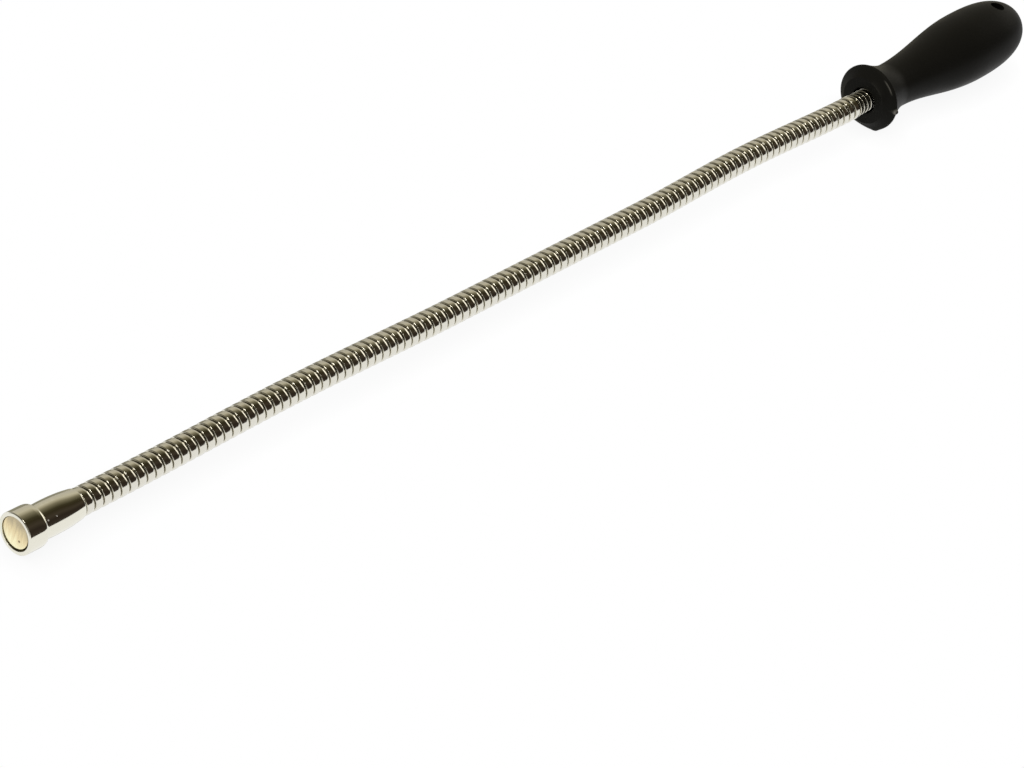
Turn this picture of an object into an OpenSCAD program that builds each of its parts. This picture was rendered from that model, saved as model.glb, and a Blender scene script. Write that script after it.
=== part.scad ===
// Flexible magnetic pickup tool: a magnet in a turned steel cup, on a gooseneck of two
// wound wires, with a moulded handle. Millimetres, +Z up.
// Origin: centre of the magnet's face. +X runs from the magnet to the handle, and the tool
// lies on a bench at z = -cup_d / 2.

/* [Head] */
// Outside diameter of the magnet cup
cup_d = 16.3; // [15:0.1:18]
// Length of the cup's wide part
cup_l = 8.8; // [8:0.1:12]
// Length of the whole head, from the magnet's face to the end of the ferrule
head_l = 28; // [26:0.5:34]
// Diameter of the magnet disc
magnet_d = 12.7; // [11:0.1:13.2]
// How far the cup's rim stands in front of the magnet's face
rim_lip = 0.5; // [0.2:0.1:0.8]
// Thickness of the magnet disc
magnet_t = 5; // [3:0.5:7]
// Width of the adhesive ring round the magnet
bond_w = 0.25; // [0.15:0.05:0.35]
// Largest diameter of the ferrule's body
ferrule_d = 13.4; // [12.8:0.1:14]
// Diameter of the ferrule's rolled end
ferrule_end_d = 11.2; // [11:0.1:11.8]

/* [Gooseneck] */
// Outside diameter over the bands
neck_d = 10.7; // [10.2:0.1:10.8]
// Distance from one band to the next
pitch = 4.2; // [4:0.05:4.4]
// Bands between two joints
turns_per_segment = 7; // [6:1:8]
// Bands between the last joint and the ferrule, and between the first joint and the handle
turns_per_stub = 3; // [3:1:4]
// Number of rigid lengths between the joints
segments = 15; // [10:1:16]
// Largest angle that one joint bends each way, in degrees
bend = 22; // [10:1:23]
// How far the neck bows up near the head, as the tool lies
rise_head = 2.6; // [0:0.1:3]
// How far the neck bows up near the handle, as the tool lies
rise_handle = 1.7; // [0:0.1:3]
// How far the neck bows to the front near the head
sway_head = 0.7; // [0:0.1:2]
// How far the neck bows to the back near the handle
sway_handle = 0.4; // [0:0.1:2]

/* [Handle] */
// Diameter of the flange
flange_d = 30; // [28:0.5:34]
// Height of the handle's axis over the bench at the mouth, which sets the depth of the flat
mouth_h = 12.95; // [12.8:0.05:13.4]
// Angle at which the handle rises to the rear, in degrees
handle_tilt = 2.54; // [2.3:0.02:2.9]
// Smallest diameter, at the waist
waist_d = 19.6; // [19:0.1:22]
// Largest diameter, at the bulb
bulb_d = 31.6; // [30:0.1:31.8]
// Length of the handle along its axis
handle_l = 111; // [105:0.5:120]
// Diameter of the hanging hole
hole_d = 6.5; // [5:0.5:8]
// Distance of the hanging hole from the front face, along the axis
hole_x = 95; // [92:0.5:98]

/* [Hidden] */
$fn = 96;
eps = 0.01;
bench_z = -cup_d / 2;

// Gooseneck section: the outer wire's bands, the groove between them, and the inner coil
wrap_r = neck_d / 2;
groove_r = wrap_r - 0.6;
wrap_bore_r = wrap_r - 1.2;
coil_r = wrap_bore_r - 0.1;
coil_bore_r = coil_r - 1.7;
groove_w = 1.0;
shoulder_w = 0.45;
bend_clearance = 2;
end_slope = tan(bend / 2 + bend_clearance);
head_tail_l = 13;
head_tail_r = wrap_r - 0.45;
handle_tail_l = 38;
handle_tail_r = wrap_r - 0.2;

// Gooseneck path: straight stubs at both ends, and joints between them
stub_l = turns_per_stub * pitch;
segment_l = turns_per_segment * pitch;
neck_l = 2 * stub_l + segments * segment_l;
mouth_x = head_l + neck_l;
mouth_z = bench_z + mouth_h;
last_x = mouth_x - stub_l * cos(handle_tilt);
last_z = mouth_z - stub_l * sin(handle_tilt);
bow_head_at = 0.234 * neck_l;
bow_head_w = 0.197 * neck_l;
bow_handle_at = 0.818 * neck_l;
bow_handle_w = neck_l - stub_l - bow_handle_at;

// Handle section, along its axis from the mouth
flange_x = 4.5;
face_r = 10.7;
bevel_x = 3.4;
bevel_r = flange_d / 2 - 0.7;
waist_x = 19.5;
bulb_x = 75.5;
mouth_bore_r = wrap_r + 0.2;
bore_l = handle_tail_l + 4;
sleeve_x = 10;
sleeve_l = 26;
sleeve_r = 6.5;
sleeve_clearance = 0.05;

function pad2(k) = str(k < 10 ? "0" : "", k);
WRAPS = [for (k = [1:segments]) str("neck_wrap_", pad2(k))];
COILS = [for (k = [1:segments]) str("neck_coil_", pad2(k))];

// ---- Path of the neck -------------------------------------------------------------

// Two smooth bows, of size 1 at their middles, at distance d along the neck
function bow(d, at, w) = abs(d - at) < w ? pow(cos(90 * (d - at) / w), 2) : 0;
function bow_1(d) = bow(d, bow_head_at, bow_head_w);
function bow_2(d) = bow(d, bow_handle_at, bow_handle_w);

// Joint k, counted from the head. Joint 0 ends the head's stub, joint `segments` starts the
// handle's.
function along(k) = stub_l + k * segment_l;
function joint_at(k) = k == segments ? [last_x, 0, last_z] : let (d = along(k)) [
    head_l + d,
    sway_handle * bow_2(d) - sway_head * bow_1(d),
    last_z * k / segments + rise_head * bow_1(d) + rise_handle * bow_2(d)];
JOINTS = [for (k = [0:segments]) joint_at(k)];
echo(JOINTS_MM = JOINTS, MOUTH_MM = [mouth_x, 0, mouth_z]);

// Stands a shape that is drawn along +Z on point `from`, pointing at `to`
module aim(from, to) {
    v = to - from;
    translate(from)
        rotate([0, acos(v[2] / norm(v)), atan2(v[1], v[0])])
            children();
}

// ---- Gooseneck --------------------------------------------------------------------

// Outline of `n` bands, from z = 0. A sloped end leaves room for the next length to bend
// about the joint at its end, and a square one doesn't.
function band(i, n, slope_start, slope_end) = [
    if (i > 0 || !slope_start) [groove_r, i * pitch + groove_w / 2],
    i > 0 || !slope_start ? [wrap_r, i * pitch + groove_w / 2 + shoulder_w]
        : [wrap_r, wrap_r * end_slope],
    i < n - 1 || !slope_end ? [wrap_r, (i + 1) * pitch - groove_w / 2 - shoulder_w]
        : [wrap_r, n * pitch - wrap_r * end_slope],
    if (i < n - 1 || !slope_end) [groove_r, (i + 1) * pitch - groove_w / 2]];
function bands(n, slope_start, slope_end) = [
    for (i = [0:n - 1]) for (p = band(i, n, slope_start, slope_end)) p];

module wrap_segment() {
    rotate_extrude()
        polygon(concat(
            bands(turns_per_segment, true, true),
            [[wrap_bore_r, segment_l - wrap_bore_r * end_slope],
             [wrap_bore_r, wrap_bore_r * end_slope]]));
}

module coil_segment() {
    rotate_extrude()
        polygon([
            [coil_bore_r, coil_bore_r * end_slope],
            [coil_r, coil_r * end_slope],
            [coil_r, segment_l - coil_r * end_slope],
            [coil_bore_r, segment_l - coil_bore_r * end_slope]]);
}

// A stub starts at z = 0 with a smooth tail below, and ends at a joint
module wrap_stub(tail_l, tail_r) {
    rotate_extrude()
        polygon(concat(
            [[wrap_bore_r, -tail_l], [tail_r, -tail_l], [tail_r, 0], [groove_r, 0]],
            bands(turns_per_stub, false, true),
            [[wrap_bore_r, stub_l - wrap_bore_r * end_slope]]));
}

module coil_stub(tail_l) {
    rotate_extrude()
        polygon([
            [coil_bore_r, -tail_l],
            [coil_r, -tail_l],
            [coil_r, stub_l - coil_r * end_slope],
            [coil_bore_r, stub_l - coil_bore_r * end_slope]]);
}

module neck_wrap(k) {
    color([0.72, 0.71, 0.66]) aim(JOINTS[k - 1], JOINTS[k]) wrap_segment();
}

module neck_coil(k) {
    color([0.62, 0.61, 0.58]) aim(JOINTS[k - 1], JOINTS[k]) coil_segment();
}

module at_ferrule() {
    translate([head_l, 0, 0]) rotate([0, 90, 0]) children();
}

// Points back along the handle's axis, from the mouth to the first joint
module at_mouth_forward() {
    aim([mouth_x, 0, mouth_z], JOINTS[segments]) children();
}

module neck_wrap_head() {
    color([0.72, 0.71, 0.66]) at_ferrule() wrap_stub(head_tail_l, head_tail_r);
}

module neck_coil_head() {
    color([0.62, 0.61, 0.58]) at_ferrule() coil_stub(head_tail_l);
}

module neck_wrap_handle() {
    color([0.72, 0.71, 0.66]) at_mouth_forward() wrap_stub(handle_tail_l, handle_tail_r);
}

module neck_coil_handle() {
    color([0.62, 0.61, 0.58]) at_mouth_forward() coil_stub(handle_tail_l);
}

// ---- Head -------------------------------------------------------------------------

pocket_r = magnet_d / 2 + bond_w + 0.02;
pocket_l = magnet_t + bond_w + 0.02;
rim_chamfer = 0.3;
shoulder_l = 2.6;
ferrule_x = cup_l + 0.9;
swell_x = cup_l + 6;

// Radius of the ferrule, which swells behind the cup and is rolled in at its end
function ferrule_r(x) = x < swell_x
    ? ferrule_d / 2 - 0.2 * pow((swell_x - x) / (swell_x - ferrule_x), 2)
    : ferrule_d / 2 - (ferrule_d - ferrule_end_d) / 2 * pow((x - swell_x) / (head_l - swell_x), 4);

// Radius of the cup's rounded rear shoulder, by angle from its start
function shoulder_r(a) = ferrule_d / 2 + (cup_d - ferrule_d) / 2 * cos(a);

module magnet_cup() {
    steps = 20;
    color([0.75, 0.74, 0.68])
        rotate([0, 90, 0])
            rotate_extrude()
                polygon(concat(
                    [[0, pocket_l], [pocket_r, pocket_l], [pocket_r, -rim_lip],
                     [cup_d / 2 - rim_chamfer, -rim_lip],
                     [cup_d / 2, rim_chamfer - rim_lip]],
                    [for (i = [0:6]) [shoulder_r(15 * i), cup_l - shoulder_l * (1 - sin(15 * i))]],
                    [[ferrule_d / 2 - 0.1, cup_l + 0.3]],
                    [for (i = [0:steps])
                        let (x = ferrule_x + (head_l - ferrule_x) * i / steps)
                        [ferrule_r(x), x]],
                    [[head_tail_r + 0.05, head_l],
                     [head_tail_r + 0.05, head_l - head_tail_l - 0.3],
                     [0, head_l - head_tail_l - 0.3]]));
}

module magnet() {
    edge = 0.2;
    color([0.93, 0.88, 0.74])
        rotate([0, 90, 0])
            rotate_extrude()
                polygon([
                    [0, 0], [magnet_d / 2 - edge, 0], [magnet_d / 2, edge],
                    [magnet_d / 2, magnet_t], [0, magnet_t]]);
}

// The adhesive lines the pocket's wall and floor, and stops just below the magnet's face
module magnet_bond() {
    recess = 0.35;
    in_r = magnet_d / 2 + eps;
    color([0.16, 0.14, 0.1])
        rotate([0, 90, 0])
            rotate_extrude()
                polygon([
                    [in_r, recess], [pocket_r - eps, recess],
                    [pocket_r - eps, pocket_l - eps], [0, pocket_l - eps],
                    [0, magnet_t + eps], [in_r, magnet_t + eps]]);
}

// ---- Handle -----------------------------------------------------------------------

// Draws along the handle's axis: +X from the mouth to the rear
module on_handle_axis() {
    translate([mouth_x, 0, mouth_z]) rotate([0, -handle_tilt, 0]) children();
}

module revolved() {
    rotate([0, 90, 0]) rotate_extrude() children();
}

// Radius between the flange and the waist: a hollow curve
function flare_r(x) = waist_d / 2
    + (flange_d / 2 - waist_d / 2 - 0.3) * pow((waist_x - x) / (waist_x - flange_x - 0.6), 1.5);
// Radius from the waist to the bulb: a cosine blend
function grip_r(x) = waist_d / 2
    + (bulb_d - waist_d) / 4 * (1 - cos(180 * (x - waist_x) / (bulb_x - waist_x)));
// Radius from the bulb to the rear tip: a blunt round end
function end_r(x) = bulb_d / 2
    * pow(max(0, 1 - pow((x - bulb_x) / (handle_l - bulb_x), 2.6)), 1 / 2.8);

function flare_points(n) = [
    for (i = [0:n]) let (x = flange_x + 0.6 + (waist_x - flange_x - 0.6) * i / n) [flare_r(x), x]];
function grip_points(n) = [
    for (i = [1:n]) let (x = waist_x + (bulb_x - waist_x) * i / n) [grip_r(x), x]];
// The steps get finer towards the tip
function end_points(n) = [
    for (i = [1:n]) let (x = bulb_x + (handle_l - bulb_x) * sin(90 * i / n)) [end_r(x), x]];

module handle_outline() {
    polygon(concat(
        [[0, 0], [face_r - 0.4, 0], [face_r, 0.2],
         [bevel_r, bevel_x], [flange_d / 2 - 0.2, flange_x - 0.5],
         [flange_d / 2, flange_x], [flange_d / 2, flange_x + 0.2]],
        flare_points(10), grip_points(16), end_points(14)));
}

module handle_bores() {
    mouth_chamfer = 0.8;
    translate([-1, 0, 0]) rotate([0, 90, 0]) cylinder(r = mouth_bore_r, h = bore_l + 1);
    rotate([0, 90, 0])
        translate([0, 0, -eps])
            cylinder(r1 = mouth_bore_r + mouth_chamfer, r2 = mouth_bore_r, h = mouth_chamfer);
    translate([sleeve_x - sleeve_clearance, 0, 0])
        rotate([0, 90, 0])
            cylinder(r = sleeve_r + sleeve_clearance, h = sleeve_l + 2 * sleeve_clearance);
}

module handle() {
    size = 200;
    color([0.12, 0.12, 0.11])
        difference() {
            on_handle_axis() {
                difference() {
                    revolved() handle_outline();
                    handle_bores();
                }
            }
            // The flat that rests on the bench
            translate([mouth_x - size / 2, -size / 2, bench_z - size]) cube(size);
            // The hanging hole stands square to the flat
            translate([mouth_x + hole_x * cos(handle_tilt), 0, bench_z - 1])
                cylinder(d = hole_d, h = 60);
        }
}

module anchor_sleeve() {
    groove_depth = 0.6;
    groove_l = 3;
    color([0.6, 0.6, 0.6])
        on_handle_axis()
            difference() {
                translate([sleeve_x, 0, 0]) rotate([0, 90, 0]) cylinder(r = sleeve_r, h = sleeve_l);
                translate([sleeve_x - 1, 0, 0])
                    rotate([0, 90, 0])
                        cylinder(r = handle_tail_r + 0.05, h = sleeve_l + 2);
                for (x = [sleeve_x + 6, sleeve_x + sleeve_l - 6 - groove_l])
                    translate([x, 0, 0])
                        rotate([0, 90, 0])
                            difference() {
                                cylinder(r = sleeve_r + 1, h = groove_l);
                                translate([0, 0, -1])
                                    cylinder(r = sleeve_r - groove_depth, h = groove_l + 2);
                            }
            }
}

// ---- Assembly ---------------------------------------------------------------------

handle();
anchor_sleeve();
neck_wrap_handle();
neck_coil_handle();
for (k = [1:segments]) neck_wrap(k);
for (k = [1:segments]) neck_coil(k);
neck_wrap_head();
neck_coil_head();
magnet_cup();
magnet_bond();
magnet();
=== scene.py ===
"""Looks of the flexible magnetic pickup tool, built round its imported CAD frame.

Lengths in the named values are millimetres, in the part's frame: the origin is the centre
of the magnet's face, +X runs to the handle, and the tool lies on the plane z = -8.15.
"""

import math

import bmesh
import bpy
import numpy as np
from mathutils import Matrix, Vector


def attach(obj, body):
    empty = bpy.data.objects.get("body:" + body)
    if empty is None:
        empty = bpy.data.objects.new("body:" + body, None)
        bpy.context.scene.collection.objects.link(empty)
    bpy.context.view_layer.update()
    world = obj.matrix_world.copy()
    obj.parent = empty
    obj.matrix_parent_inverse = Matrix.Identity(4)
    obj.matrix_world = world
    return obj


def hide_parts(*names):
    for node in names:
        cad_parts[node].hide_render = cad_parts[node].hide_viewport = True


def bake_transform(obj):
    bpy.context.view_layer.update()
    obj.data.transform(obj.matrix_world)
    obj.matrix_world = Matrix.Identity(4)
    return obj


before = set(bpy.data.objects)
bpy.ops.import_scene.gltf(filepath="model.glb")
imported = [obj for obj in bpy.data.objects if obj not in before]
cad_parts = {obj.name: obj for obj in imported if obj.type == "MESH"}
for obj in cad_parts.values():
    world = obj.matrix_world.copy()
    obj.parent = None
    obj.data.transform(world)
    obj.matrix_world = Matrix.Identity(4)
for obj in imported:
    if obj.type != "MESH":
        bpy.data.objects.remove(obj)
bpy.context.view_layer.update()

MM = 0.001

# ---- Sizes, as in the CAD source -----------------------------------------------------

BENCH_Z = -8.15
CUP_R = 8.15
RIM_LIP = 0.35
POCKET_R = 6.62
NECK_R = 5.35
HEAD_L = 28.0
NECK_L = 466.2
PITCH = 4.2
STUB_L = 12.6
SEGMENT_L = 29.4
SEGMENTS = 15
HANDLE_TILT = math.radians(2.54)
MOUTH = Vector((494.2, 0.0, 4.8))
LAST_Z = MOUTH.z - STUB_L * math.sin(HANDLE_TILT)
HOLE_R = 3.25
HOLE_FROM_MOUTH = 95.0

# ---- Camera, as fitted to the photograph ---------------------------------------------

CAMERA_AT = Vector((-705.89, -619.66, 818.88))
CAMERA_AIM = Vector((214.16, -42.14, 0.0))
CAMERA_ROLL = 15.82
CAMERA_LENS = 126.62


FERRULE_R = 6.7
FERRULE_CROWN_X = 14.8


def ferrule_r(x):
    """The ferrule's radius: it swells to its crown, and tapers from there to the neck."""
    if x < FERRULE_CROWN_X:
        return FERRULE_R - 0.2 * ((FERRULE_CROWN_X - x) / 5.1) ** 2
    return FERRULE_R - 1.0 * ((x - FERRULE_CROWN_X) / 13.2) ** 2.3


# ---- Node and mesh helpers -----------------------------------------------------------


class Nodes:
    """Short ways to add and join the nodes of one node tree."""

    def __init__(self, tree):
        self.tree = tree
        tree.nodes.clear()

    def add(self, kind, _values=None, **settings):
        node = self.tree.nodes.new(kind)
        for key, value in settings.items():
            setattr(node, key, value)
        for key, value in (_values or {}).items():
            self.put(node.inputs[key], value)
        return node

    def put(self, socket, value):
        if isinstance(value, bpy.types.NodeSocket):
            self.tree.links.new(value, socket)
        else:
            socket.default_value = value

    def math(self, operation, a, b=0.0, c=0.0):
        node = self.add("ShaderNodeMath", operation=operation)
        for socket, value in zip(node.inputs, (a, b, c)):
            self.put(socket, value)
        return node.outputs[0]

    def span(self, value, low, high, to_low=0.0, to_high=1.0):
        """Maps low..high smoothly to to_low..to_high."""
        node = self.add("ShaderNodeMapRange", interpolation_type="SMOOTHSTEP")
        for key, v in zip(
            ("Value", "From Min", "From Max", "To Min", "To Max"),
            (value, low, high, to_low, to_high),
        ):
            self.put(node.inputs[key], v)
        return node.outputs[0]

    def mix(self, factor, a, b):
        node = self.add("ShaderNodeMix", data_type="RGBA")
        self.put(node.inputs[0], factor)
        self.put(node.inputs[6], a)
        self.put(node.inputs[7], b)
        return node.outputs[2]

    def ramp(self, value, stops):
        node = self.add("ShaderNodeValToRGB")
        marks = node.color_ramp.elements
        while len(marks) < len(stops):
            marks.new(0.5)
        for mark, (at, colour) in zip(marks, stops):
            mark.position = at
            mark.color = (*colour, 1.0)
        self.put(node.inputs[0], value)
        return node.outputs[0]


def material(name):
    mat = bpy.data.materials.new(name)
    mat.use_nodes = True
    nodes = Nodes(mat.node_tree)
    out = nodes.add("ShaderNodeOutputMaterial")
    return mat, nodes, out


def mesh_object(name, vertices, faces, mat, smooth_angle):
    mesh = bpy.data.meshes.new(name)
    mesh.from_pydata([tuple(v) for v in vertices], [], faces)
    work = bmesh.new()
    work.from_mesh(mesh)
    bmesh.ops.recalc_face_normals(work, faces=work.faces)
    work.to_mesh(mesh)
    work.free()
    mesh.shade_smooth()
    mesh.set_sharp_from_angle(angle=math.radians(smooth_angle))
    mesh.materials.append(mat)
    obj = bpy.data.objects.new(name, mesh)
    bpy.context.scene.collection.objects.link(obj)
    return obj


def revolve(name, outline, mat, segments, smooth_angle=30.0):
    """Turns an outline of (x, radius) in mm about the X axis. Radius 0 gives one point."""
    vertices, rings = [], []
    for x, r in outline:
        if r == 0.0:
            rings.append([len(vertices)])
            vertices.append((x * MM, 0.0, 0.0))
            continue
        ring = []
        for j in range(segments):
            a = 2 * math.pi * j / segments
            ring.append(len(vertices))
            vertices.append((x * MM, -r * math.sin(a) * MM, r * math.cos(a) * MM))
        rings.append(ring)
    faces = []
    for a, b in zip(rings, rings[1:]):
        for j in range(segments):
            k = (j + 1) % segments
            corners = [a[j % len(a)], a[k % len(a)], b[k % len(b)], b[j % len(b)]]
            faces.append(list(dict.fromkeys(corners)))
    faces = [f for f in faces if len(f) > 2]
    return mesh_object(name, vertices, faces, mat, smooth_angle)


def arc(cx, cr, radius, start, end, steps, flatten=1.0):
    """Points (x, r) on an arc about (cx, cr). Angle 0 points to +x, 90 to +r. The arc's
    height is the radius times flatten."""
    turn = np.radians(np.linspace(start, end, steps + 1))
    return [
        (cx + radius * math.cos(a), cr + radius * flatten * math.sin(a)) for a in turn
    ]


# ---- Materials -----------------------------------------------------------------------


def plated_metal(name, colour, roughness, scratch, pits=0.0, painted_groove_shade=False, glints_and_pale_spots=()):
    """Bright plating with faint scratches. If asked it has a few pits, painted shade that
    darkens the colour deep in the neck's grooves, or painted glints and pale spots on the
    ferrule, each at (x, angle in radians, size, brightness)."""
    mat, n, out = material(name)
    place = n.add("ShaderNodeTexCoord").outputs["Object"]
    fine = n.add(
        "ShaderNodeTexNoise", {"Vector": place, "Scale": 900.0, "Detail": 3.0}
    ).outputs[0]
    broad = n.add(
        "ShaderNodeTexNoise", {"Vector": place, "Scale": 160.0, "Detail": 2.0}
    ).outputs[0]
    rough = n.span(broad, 0.3, 0.7, roughness * 0.8, roughness * 1.25)
    height = n.math("MULTIPLY", fine, 0.5)
    if pits:
        cells = n.add(
            "ShaderNodeTexVoronoi", {"Vector": place, "Scale": 420.0, "Randomness": 1.0}
        )
        dots = n.span(cells.outputs["Distance"], 0.05, 0.16, 1.0, 0.0)
        where = n.add(
            "ShaderNodeTexNoise", {"Vector": place, "Scale": 230.0, "Detail": 0.0}
        ).outputs[0]
        dots = n.math("MULTIPLY", dots, n.span(where, 0.58, 0.66))
        height = n.math("SUBTRACT", height, n.math("MULTIPLY", dots, pits))
    bump = n.add(
        "ShaderNodeBump", {"Strength": scratch, "Distance": 0.0002, "Height": height}
    )
    tone = (*colour, 1.0)
    if painted_groove_shade:
        # Painted shade: the colour darkens the deeper the surface lies below the neck's
        # top, down in the grooves
        drop = n.add("ShaderNodeAttribute", attribute_name="drop").outputs["Fac"]
        tone = n.mix(n.span(drop, 0.45, 0.95), tone, (0.16, 0.14, 0.10, 1.0))
    # Each spot paints the colour towards white near its point and makes the surface rougher
    # there; the bright ones are painted glints
    for x, turn, size, bright in glints_and_pale_spots:
        r = ferrule_r(x)
        at = Vector((x, -r * math.sin(turn), r * math.cos(turn))) * MM
        away = n.add("ShaderNodeVectorMath", {0: place, 1: at}, operation="DISTANCE")
        near = n.span(away.outputs["Value"], size * 0.6 * MM, size * MM, bright, 0.0)
        tone = n.mix(near, tone, (1.0, 0.98, 0.94, 1.0))
        rough = n.math("MAXIMUM", rough, n.math("MULTIPLY", near, 0.6))
    body = n.add(
        "ShaderNodeBsdfPrincipled",
        {
            "Base Color": tone,
            "Metallic": 1.0,
            "Roughness": rough,
            "Normal": bump.outputs[0],
        },
    )
    n.put(out.inputs["Surface"], body.outputs[0])
    return mat


def black_plastic():
    """Moulded satin black, with a fine grain and slight broad unevenness. Two edges of the
    flange carry a painted highlight, and the gate's mark a pale ring.
    """
    mat, n, out = material("black_plastic")
    place = n.add("ShaderNodeTexCoord").outputs["Object"]
    grain = n.add(
        "ShaderNodeTexNoise", {"Vector": place, "Scale": 1500.0, "Detail": 4.0}
    ).outputs[0]
    broad = n.add(
        "ShaderNodeTexNoise", {"Vector": place, "Scale": 60.0, "Detail": 2.0}
    ).outputs[0]
    bump = n.add(
        "ShaderNodeBump", {"Strength": 0.12, "Distance": 0.0002, "Height": grain}
    )
    # The lighter colour is a painted highlight on the flange's edges, and the pale ring
    # round the gate's mark
    highlight_and_gate_mark = n.add("ShaderNodeAttribute", attribute_name="highlight_and_gate_mark").outputs["Fac"]
    tone = n.mix(highlight_and_gate_mark, (0.0105, 0.0102, 0.0088, 1.0), (0.2, 0.19, 0.17, 1.0))
    body = n.add(
        "ShaderNodeBsdfPrincipled",
        {
            "Base Color": tone,
            "Roughness": n.span(broad, 0.3, 0.7, 0.36, 0.44),
            "Specular IOR Level": 0.03,
            "Normal": bump.outputs[0],
        },
    )
    n.put(out.inputs["Surface"], body.outputs[0])
    return mat


def magnet_plating():
    """Satin nickel, warm and streaked, with one small dark chip. Its colour is darker at
    the
    top and brighter at the bottom: painted shade above and a painted reflection below."""
    mat, n, out = material("magnet_plating")
    place = n.add("ShaderNodeTexCoord").outputs["Object"]
    xyz = n.add("ShaderNodeSeparateXYZ", {"Vector": place})
    drawn = n.add(
        "ShaderNodeVectorMath", {0: place, 1: (1.0, 1.0, 0.14)}, operation="MULTIPLY"
    )
    streaks = n.add(
        "ShaderNodeTexNoise", {"Vector": drawn.outputs[0], "Scale": 900.0, "Detail": 2.0}
    ).outputs[0]
    # Painted shade and reflection: darker towards the top, brighter towards the bottom and
    # the back, with the streaks added on
    painted_light_and_streaks = n.math("MULTIPLY_ADD", xyz.outputs["Z"], -110.0, 0.5)
    painted_light_and_streaks = n.math("MULTIPLY_ADD", xyz.outputs["Y"], 15.0, painted_light_and_streaks)
    painted_light_and_streaks = n.math("ADD", painted_light_and_streaks, n.span(streaks, 0.35, 0.65, -0.12, 0.12))
    tone = n.ramp(
        painted_light_and_streaks,
        [(0.0, (0.48, 0.41, 0.27)), (0.5, (0.80, 0.67, 0.40)), (1.0, (0.99, 0.93, 0.61))],
    )
    chip = Vector((0.0, -2.16, -2.01)) * MM
    away = n.add("ShaderNodeVectorMath", {0: place, 1: chip}, operation="DISTANCE")
    near = n.span(away.outputs["Value"], 0.30 * MM, 0.65 * MM, 1.0, 0.0)
    tone = n.mix(near, tone, (0.28, 0.21, 0.12, 1.0))
    body = n.add(
        "ShaderNodeBsdfPrincipled",
        {"Base Color": tone, "Metallic": 1.0, "Roughness": 0.28},
    )
    n.put(out.inputs["Surface"], body.outputs[0])
    return mat


def adhesive():
    """Dull amber, slightly cloudy."""
    mat, n, out = material("adhesive")
    place = n.add("ShaderNodeTexCoord").outputs["Object"]
    cloud = n.add(
        "ShaderNodeTexNoise", {"Vector": place, "Scale": 900.0, "Detail": 2.0}
    ).outputs[0]
    tone = n.mix(cloud, (0.10, 0.085, 0.03, 1.0), (0.20, 0.17, 0.07, 1.0))
    body = n.add("ShaderNodeBsdfPrincipled", {"Base Color": tone, "Roughness": 0.6})
    n.put(out.inputs["Surface"], body.outputs[0])
    return mat


# Painted glints (the first two) and pale spots on the ferrule: (x, angle in radians towards
# the front from the top, size, brightness)
GLINTS_AND_PALE_SPOTS = [
    (10.1, 0.79, 0.42, 1.0),
    (14.0, 0.78, 0.36, 0.9),
    (12.0, -0.21, 0.9, 0.16),
    (14.1, -0.17, 0.8, 0.12),
    (16.7, -0.18, 1.0, 0.18),
]
chrome_cup = plated_metal(
    "chrome_cup", (0.79, 0.77, 0.67), 0.07, 0.02, pits=3.0, glints_and_pale_spots=GLINTS_AND_PALE_SPOTS
)
chrome_wire = plated_metal("chrome_wire", (0.72, 0.70, 0.62), 0.10, 0.03, painted_groove_shade=True)
coil_steel = plated_metal("coil_steel", (0.30, 0.28, 0.23), 0.25, 0.05)
sleeve_steel = plated_metal("sleeve_steel", (0.55, 0.55, 0.54), 0.35, 0.1)
black = black_plastic()
nickel = magnet_plating()
glue = adhesive()



def recolour(node, mat):
    """Gives a piece that is kept as it is in the CAD its material."""
    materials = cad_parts[node].data.materials
    materials.clear()
    materials.append(mat)


# ---- Neck ----------------------------------------------------------------------------

# The turns of the outer wire lie as a right-handed helix. As it is seen, its first groove
# is 0.75 mm behind the ferrule at 76.4 degrees from the top, towards the front.
GROOVE_AT_TOP = 0.75 - PITCH * 76.4 / 360.0

# The neck's two slight bows: middle, half length, and the bow's height to the side and up
BOW_1_AT, BOW_1_HALF, BOW_1_SIDE, BOW_1_UP = 0.234 * NECK_L, 0.197 * NECK_L, -0.7, 2.6
BOW_2_AT, BOW_2_SIDE, BOW_2_UP = 0.818 * NECK_L, 0.4, 1.7
BOW_2_HALF = NECK_L - BOW_2_AT - STUB_L

# The turns at the handle's mouth are pressed together and slightly thinner
PRESSED_FROM = NECK_L - 9.0
PRESSED_PITCH = 0.6
PRESSED_THINNING = 0.06


def bow(d, at, half):
    """A smooth rise from 0 to 1 and back, over half on either side of at."""
    return np.where(
        np.abs(d - at) < half, np.cos(math.pi / 2 * (d - at) / half) ** 2, 0.0
    )


def centre_line(d):
    """Points on the neck's axis at distances d behind the ferrule, as the tool lies."""
    bow_1 = bow(d, BOW_1_AT, BOW_1_HALF)
    bow_2 = bow(d, BOW_2_AT, BOW_2_HALF)
    last = joint_d(SEGMENTS)
    climb = np.interp(d, [STUB_L, last], [0.0, LAST_Z])
    climb = climb + np.maximum(d - last, 0.0) * math.sin(HANDLE_TILT)
    side = BOW_2_SIDE * bow_2 + BOW_1_SIDE * bow_1
    up = climb + BOW_1_UP * bow_1 + BOW_2_UP * bow_2
    return np.stack([HEAD_L + d, side, up], -1)


def joint_d(k):
    """Where hinge k is, counted from the head."""
    return STUB_L + k * SEGMENT_L


def pressed(d):
    """Where a point of an evenly wound wire goes when the last turns are pressed."""
    past = np.maximum(d - PRESSED_FROM, 0.0)
    return d - past * (1.0 - PRESSED_PITCH)


def unpressed(d):
    """The other way round."""
    past = max(d - PRESSED_FROM, 0.0)
    return d - past + past / PRESSED_PITCH


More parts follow.
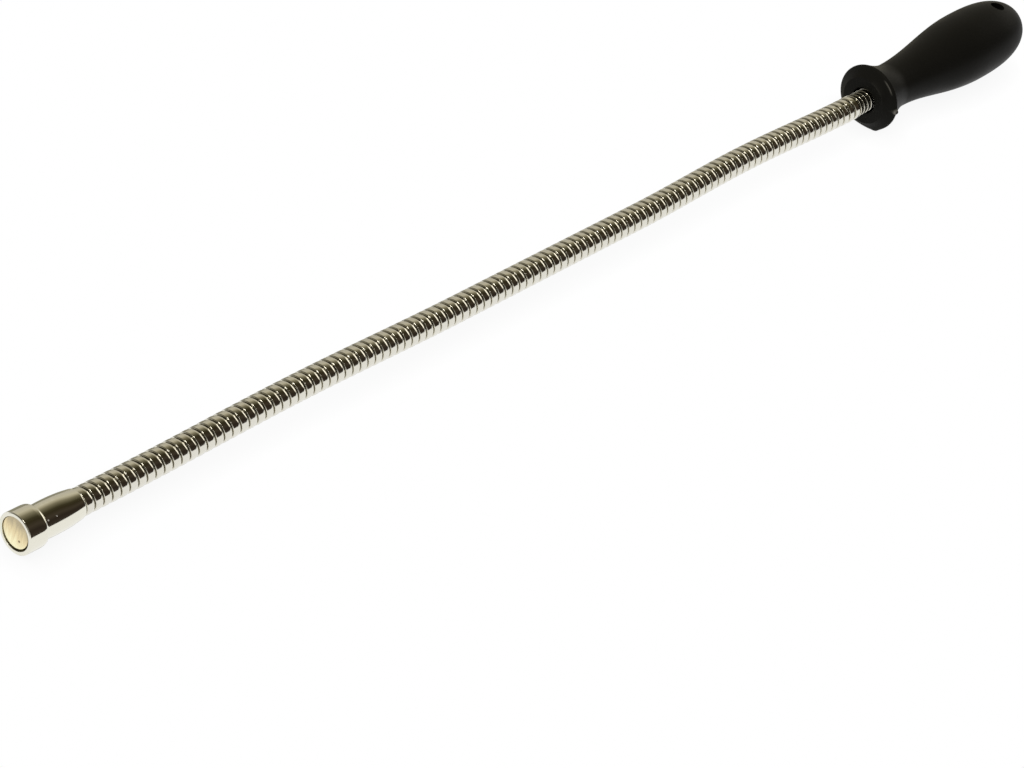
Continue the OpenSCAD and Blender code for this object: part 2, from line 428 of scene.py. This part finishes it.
def wound(name, section, start_d, end_d, mat, steps):
    """A wire of the given closed section (distance along the neck, radius), wound from
    start_d to end_d. steps is the number of sections in one turn. The attribute drop is the
    depth below the neck's surface."""
    first = (start_d - GROOVE_AT_TOP) / PITCH
    last = (unpressed(end_d) - GROOVE_AT_TOP) / PITCH
    count = max(2, round((last - first) * steps) + 1)
    turns = np.linspace(first, last, count)
    section = np.array(section)
    d = pressed(GROOVE_AT_TOP + PITCH * turns[:, None] + section[None, :, 0])
    angle = (2 * math.pi * turns)[:, None, None]
    p = centre_line(d)
    ahead = centre_line(d + 0.1) - centre_line(d - 0.1)
    ahead /= np.linalg.norm(ahead, axis=-1, keepdims=True)
    side = np.cross(ahead, [0.0, 0.0, 1.0])
    side /= np.linalg.norm(side, axis=-1, keepdims=True)
    up = np.cross(side, ahead)
    thinner = PRESSED_THINNING * np.clip((d - PRESSED_FROM) / 3.0, 0.0, 1.0)
    r = (section[None, :, 1] * (1.0 - thinner))[..., None]
    p = p + r * (np.cos(angle) * up + np.sin(angle) * side)
    rows, width = p.shape[:2]
    drop = (NECK_R - r).ravel()
    vertices = (p * MM).reshape(-1, 3)
    faces = []
    for i in range(rows - 1):
        for j in range(width):
            k = (j + 1) % width
            faces.append(
                (i * width + j, (i + 1) * width + j, (i + 1) * width + k, i * width + k)
            )
    faces.append(tuple(range(width)))
    faces.append(tuple((rows - 1) * width + j for j in reversed(range(width))))
    obj = mesh_object(name, vertices, faces, mat, 50.0)
    depth = obj.data.attributes.new("drop", "FLOAT", "POINT")
    depth.data.foreach_set("value", drop.astype(np.float32))
    return obj


def band_section():
    """The outer wire between two grooves: a tight shoulder towards the head, a nearly flat
    crown, an easy shoulder towards the handle, and a wedge below."""
    top = NECK_R
    points = [(0.06, top - 1.0)]
    for a in np.radians(np.linspace(-78, -8, 11)):
        points.append((0.39 + 0.33 * math.sin(a), top - 0.33 + 0.33 * math.cos(a)))
    for x in np.linspace(0.5, 2.1, 6):
        points.append((x, top - 0.012 + 0.02 * (1 - ((x - 1.3) / 0.8) ** 2)))
    for a in np.radians(np.linspace(3, 24, 7)):
        points.append((2.15 + 3.2 * math.sin(a), top - 3.2 + 3.2 * math.cos(a)))
    for a in np.radians(np.linspace(36, 66, 4)):
        points.append((3.05 + 1.0 * math.sin(a), top - 1.19 + 1.0 * math.cos(a)))
    return points + [(4.02, top - 1.0), (2.6, 3.75), (1.6, 3.75)]


def coil_section():
    """The inner round wire, whose crest shows at the bottom of the groove."""
    return arc(0.0, 3.25, 1.3, 330, 0, 11)


def build_neck():
    steps = 72
    for k in range(SEGMENTS + 1):
        start = joint_d(k) - SEGMENT_L / 2 if k else -PITCH
        end = joint_d(k) + SEGMENT_L / 2 if k < SEGMENTS else NECK_L + 2.5 * PITCH
        nodes = [f"{k:02d}" if k else "head"] + (["handle"] if k == SEGMENTS else [])
        wrap = wound(
            f"outer_wire_{k:02d}", band_section(), start, end, chrome_wire, steps
        )
        coil = wound(
            f"inner_coil_{k:02d}", coil_section(), start, end, coil_steel, steps // 2
        )
        for obj, kind, slot in (
            (wrap, "neck_wrap_", "wrap_chrome"),
            (coil, "neck_coil_", "coil_steel"),
        ):
            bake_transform(obj)
            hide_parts(*[kind + n for n in nodes])


# ---- Head ----------------------------------------------------------------------------


def build_head():
    # The pocket, the rim, the cup's side, its shoulder, the ferrule and its bore
    outline = [(5.27, 0.0), (5.27, POCKET_R)]
    outline += arc(0.12 - RIM_LIP, POCKET_R + 0.12, 0.12, 270, 180, 4)
    outline += [(-RIM_LIP, 7.82)]
    outline += arc(0.38 - RIM_LIP, CUP_R - 0.22, 0.22, 165, 90, 8)
    outline += [(6.2, CUP_R), (6.6, 8.125), (7.0, 8.09)]
    outline += arc(7.2, 6.95, 1.5, 82, 5, 16, flatten=1.11 / 1.5)
    outline += arc(9.2, 6.98, 0.45, 188, 250, 6)
    outline += [(x, ferrule_r(x)) for x in np.linspace(9.4, 27.6, 60)]
    outline += arc(27.7, ferrule_r(27.7) - 0.2, 0.2, 60, 0, 4)
    outline += [(27.9, 5.0), (15.0, 5.0), (15.0, 0.0)]
    cup = revolve("magnet_cup_turned", outline, chrome_cup, 192)
    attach(cup, "head")
    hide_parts("magnet_cup")
    # The disc is bonded a little off the middle of its pocket, upwards and to the back
    face = [(5.0, 0.0), (5.0, 6.16)] + arc(0.15, 6.01, 0.15, 90, 180, 4) + [(0.0, 0.0)]
    disc = revolve("magnet_disc", face, nickel, 128)
    disc.data.transform(Matrix.Translation(Vector((0.0, 0.22, 0.24)) * MM))
    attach(disc, "head")
    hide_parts("magnet")
    recolour("magnet_bond", glue)


# ---- Handle --------------------------------------------------------------------------


# Along the handle's axis: the flange's back, the waist, the thickest place and the tip
FLANGE_BACK_X, FLANGE_BACK_R = 5.1, 14.7
WAIST_X, WAIST_R = 19.5, 10.2
GRIP_X, GRIP_R = 75.5, 16.0
TIP_X = 111.6
GRIP_SAG = Vector((0.0, 0.15, 0.75))
BORE_L, BORE_R = 43.0, 5.55

# Painted highlights along two edges of the flange, where a lamp's glint falls: (x, radius,
# from angle, to angle, width, strength)
HIGHLIGHT_EDGES = [
    (2.85, 14.15, 22.0, 54.0, 0.2, 0.65),
    (0.05, 10.4, 4.0, 50.0, 0.3, 0.08),
]

# Swellings on the flange's rim, which are the moulding gate's mark and a fuller corner
# beside the flat: (angle, its spread, x, its spread, height)
GATE = (84.0, 4.5, 4.0, 1.1, 1.1)
CORNER = (148.0, 7.0, 4.2, 1.5, 0.45)


def handle_outline():
    """(x, r) along the handle's axis, from the bore's mouth round to the rear tip."""
    points = arc(0.35, 6.2, 0.35, 225, 180, 4)
    points += [(0.0, 7.5), (0.0, 9.5), (0.0, 10.0)]
    points += arc(0.45, 10.45, 0.45, 180, 138, 4)
    points += [(1.55, 12.1), (2.55, 13.68), (2.75, 14.0), (2.9, 14.2)]
    points += arc(4.2, 13.7, 1.3, 150, 65, 10)
    for x in np.linspace(FLANGE_BACK_X, WAIST_X, 30):
        rise = ((WAIST_X - x) / (WAIST_X - FLANGE_BACK_X)) ** 1.6
        points.append((x, WAIST_R + (FLANGE_BACK_R - WAIST_R) * rise))
    for x in np.linspace(WAIST_X, GRIP_X, 60)[1:]:
        turn = math.pi * (x - WAIST_X) / (GRIP_X - WAIST_X)
        points.append((x, WAIST_R + (GRIP_R - WAIST_R) / 2 * (1 - math.cos(turn))))
    for a in np.linspace(0, math.pi / 2, 40)[1:-1]:
        v = math.sin(a)
        points.append((GRIP_X + (TIP_X - GRIP_X) * v, GRIP_R * (1 - v**2.6) ** (1 / 2.8)))
    return points + [(TIP_X, 0.0)]


def swelling(turn, x, at_turn, turn_spread, at_x, x_spread, height):
    """How much of a swelling is at this place, from 0 to 1, and how high it is there."""
    part = math.exp(-(((turn - at_turn) / turn_spread) ** 2) - ((x - at_x) / x_spread) ** 2)
    return part, part * height


def swell_and_highlight_rim(mesh):
    """Raises the swellings on the flange's rim, and writes where the flange's edges get a
    painted highlight and where the gate's mark is pale. Angles are in degrees from the top,
    towards the front."""
    back = Matrix.Rotation(HANDLE_TILT, 4, "Y") @ Matrix.Translation(-MOUTH * MM)
    highlight_and_gate_mark = np.zeros(len(mesh.vertices), np.float32)
    for i, vertex in enumerate(mesh.vertices):
        x, y, z = (back @ vertex.co) / MM
        if x > 8.0 or x < -1.0:
            continue
        r = math.hypot(y, z)
        turn = math.degrees(math.atan2(-y, z))
        # Painted highlight along the flange's edges
        for at_x, at_r, low, high, width, strength in HIGHLIGHT_EDGES:
            near = math.exp(-((x - at_x) ** 2 + (r - at_r) ** 2) / width**2)
            ends = min(1.0, max(0.0, (turn - low) / 8.0), max(0.0, (high - turn) / 8.0))
            highlight_and_gate_mark[i] = max(highlight_and_gate_mark[i], strength * near * ends)
        if r > 12.0:
            gate, gate_height = swelling(turn, x, *GATE)
            height = gate_height + swelling(turn, x, *CORNER)[1]
            vertex.co += Vector((0.0, y, z)).normalized() * (height * MM)
            vertex.co.z = max(vertex.co.z, BENCH_Z * MM)
            # The gate's mark is pale round its edge
            highlight_and_gate_mark[i] = max(highlight_and_gate_mark[i], 1.0 - min(1.0, abs(gate - 0.5) / 0.35))
    mark = mesh.attributes.new("highlight_and_gate_mark", "FLOAT", "POINT")
    mark.data.foreach_set("value", highlight_and_gate_mark)


def build_handle():
    bore = [(BORE_L, 0.0), (BORE_L, BORE_R)]
    obj = revolve("handle_moulding", bore + handle_outline(), black, 192)
    # The grip hangs a little below the neck's line, more and more over 40 mm from the waist
    for vertex in obj.data.vertices:
        along = min(1.0, max(0.0, (vertex.co.x / MM - WAIST_X) / 40.0))
        ease = along * along * (3.0 - 2.0 * along)
        vertex.co -= GRIP_SAG * MM * ease
    turn = Matrix.Rotation(-HANDLE_TILT, 4, "Y")
    obj.data.transform(Matrix.Translation(MOUTH * MM) @ turn)
    # A block cuts the flange's flat, and a rod the hanging hole
    bpy.ops.mesh.primitive_cube_add(size=1, location=(0.5, 0, BENCH_Z * MM - 0.1))
    cutters = [bpy.context.object]
    cutters[0].scale = (0.2, 0.2, 0.2)
    hole_x = MOUTH.x + HOLE_FROM_MOUTH * math.cos(HANDLE_TILT)
    bpy.ops.mesh.primitive_cylinder_add(
        vertices=96, radius=HOLE_R * MM, depth=0.08, location=(hole_x * MM, 0, 0.01)
    )
    cutters.append(bpy.context.object)
    for cutter in cutters:
        cut = obj.modifiers.new("cut", "BOOLEAN")
        cut.operation = "DIFFERENCE"
        cut.solver = "EXACT"
        cut.object = cutter
    bpy.context.view_layer.update()
    graph = bpy.context.evaluated_depsgraph_get()
    mesh = bpy.data.meshes.new_from_object(obj.evaluated_get(graph))
    obj.modifiers.clear()
    obj.data = mesh
    mesh.materials.clear()
    mesh.materials.append(black)
    mesh.shade_smooth()
    mesh.set_sharp_from_angle(angle=math.radians(28))
    for cutter in cutters:
        bpy.data.objects.remove(cutter)
    swell_and_highlight_rim(mesh)
    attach(obj, "handle")
    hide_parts("handle")
    recolour("anchor_sleeve", sleeve_steel)


# ---- Studio --------------------------------------------------------------------------

# What the bright metal shows of the room, by angle about the tool's axis: 0 is level to the
# front, 0.5 straight up and 1 level to the back.
ROOM = [
    (0.00, (0.045, 0.034, 0.027)),
    (0.16, (0.030, 0.022, 0.016)),
    (0.28, (0.055, 0.043, 0.030)),
    (0.40, (0.036, 0.028, 0.014)),
    (0.48, (0.050, 0.042, 0.021)),
    (0.56, (0.13, 0.115, 0.070)),
    (0.64, (0.24, 0.215, 0.145)),
    (0.72, (0.47, 0.43, 0.32)),
    (0.79, (0.62, 0.58, 0.46)),
    (1.00, (0.56, 0.53, 0.46)),
]
BEHIND_MAGNET = (0.15, 0.14, 0.11, 1.0)
CARD = (1.6, 1.53, 1.36, 1.0)
TABLE_FAR = (0.30, 0.285, 0.215, 1.0)
TABLE_STRIP = (0.62, 0.58, 0.46, 1.0)
WHITE = (1.0, 1.0, 1.0, 1.0)


def build_world():
    world = bpy.data.worlds.new("studio")
    bpy.context.scene.world = world
    world.use_nodes = True
    n = Nodes(world.node_tree)
    out = n.add("ShaderNodeOutputWorld")
    direction = n.add("ShaderNodeTexCoord").outputs["Generated"]
    xyz = n.add("ShaderNodeSeparateXYZ", {"Vector": direction})
    x, y, z = xyz.outputs
    around = n.math("ARCTAN2", z, n.math("MULTIPLY", y, -1.0))
    around = n.math("DIVIDE", around, math.pi)
    room = n.ramp(n.math("ADD", around, n.span(x, 0.57, 0.72, 0.0, 0.06)), ROOM)
    # The room is dark behind the magnet's end
    room = n.mix(n.span(x, -0.1, 0.45), BEHIND_MAGNET, room)
    # A white card stands beyond the handle
    card_at = Vector((0.96, -0.05, 0.22)).normalized()
    towards = n.add(
        "ShaderNodeVectorMath", {0: direction, 1: card_at}, operation="DOT_PRODUCT"
    )
    card = n.span(towards.outputs["Value"], 0.92, 0.96)
    card = n.math("MULTIPLY", card, n.span(z, 0.02, 0.2))
    room = n.mix(card, room, CARD)
    # The table fills the lower half. It is white, but dimmer at its far side, and less so
    # in a strip beyond the handle
    far = n.math("MULTIPLY", n.span(y, 0.15, 0.42), n.span(x, 0.0, 0.3))
    strip = n.math("MULTIPLY", n.span(x, 0.62, 0.70), n.span(z, -0.34, -0.24))
    surface = n.mix(far, WHITE, n.mix(strip, TABLE_FAR, TABLE_STRIP))
    room = n.mix(n.span(z, 0.0, -0.03), room, surface)
    seen = n.add("ShaderNodeLightPath").outputs["Is Camera Ray"]
    colour = n.mix(seen, room, WHITE)
    light = n.add("ShaderNodeBackground", {"Color": colour, "Strength": 1.0})
    n.put(out.inputs["Surface"], light.outputs[0])


def build_floor():
    """A table that shows only the object's soft shadow, on white."""
    mat, n, out = material("table")
    near = n.add(
        "ShaderNodeAmbientOcclusion", {"Distance": 0.012}, samples=16, only_local=False
    ).outputs["AO"]
    shade = n.mix(near, (0.9, 0.9, 0.9, 1.0), WHITE)
    clear = n.add("ShaderNodeBsdfTransparent", {"Color": shade})
    plain = n.add("ShaderNodeBsdfTransparent")
    pick = n.add("ShaderNodeMixShader")
    n.put(pick.inputs[0], n.add("ShaderNodeLightPath").outputs["Is Camera Ray"])
    n.put(pick.inputs[1], plain.outputs[0])
    n.put(pick.inputs[2], clear.outputs[0])
    n.put(out.inputs["Surface"], pick.outputs[0])
    bpy.ops.mesh.primitive_plane_add(size=6.0, location=(0.3, 0, BENCH_Z * MM))
    floor = bpy.context.object
    floor.name = "table"
    floor.data.materials.append(mat)


LAMP_AIM = Vector((0.25, 0.0, 0.0))


def area_lamp(name, at, size, power, glossy=True):
    """A round lamp at a place in metres, aimed at the middle of the neck."""
    data = bpy.data.lights.new(name, "AREA")
    data.shape = "DISK"
    data.size = size
    data.energy = power
    data.color = (1.0, 0.97, 0.9)
    obj = bpy.data.objects.new(name, data)
    bpy.context.scene.collection.objects.link(obj)
    obj.location = at
    obj.rotation_mode = "QUATERNION"
    obj.rotation_quaternion = (LAMP_AIM - Vector(at)).to_track_quat("-Z", "Y")
    obj.visible_glossy = glossy


def build_lamps():
    area_lamp("overhead", (0.08, -0.11, 1.0), 0.4, 3.2)
    area_lamp("camera_side", (-0.05, -0.75, 0.90), 0.14, 0.3)
    area_lamp("fill", (0.3, 0.9, 1.3), 1.2, 13.0, glossy=False)


def build_camera():
    """The camera that the photograph was matched with."""
    data = bpy.data.cameras.new("camera")
    data.lens = CAMERA_LENS
    data.sensor_width = 36.0
    data.clip_start = 0.05
    data.clip_end = 20.0
    camera = bpy.data.objects.new("camera", data)
    bpy.context.scene.collection.objects.link(camera)
    look = (CAMERA_AIM - CAMERA_AT).to_track_quat("-Z", "Y").to_matrix().to_4x4()
    roll = Matrix.Rotation(math.radians(CAMERA_ROLL), 4, "Z")
    camera.matrix_world = Matrix.Translation(CAMERA_AT * MM) @ look @ roll
    bpy.context.scene.camera = camera


bpy.context.scene.view_settings.view_transform = "Standard"
build_neck()
build_head()
build_handle()
build_world()
build_floor()
build_lamps()
build_camera()
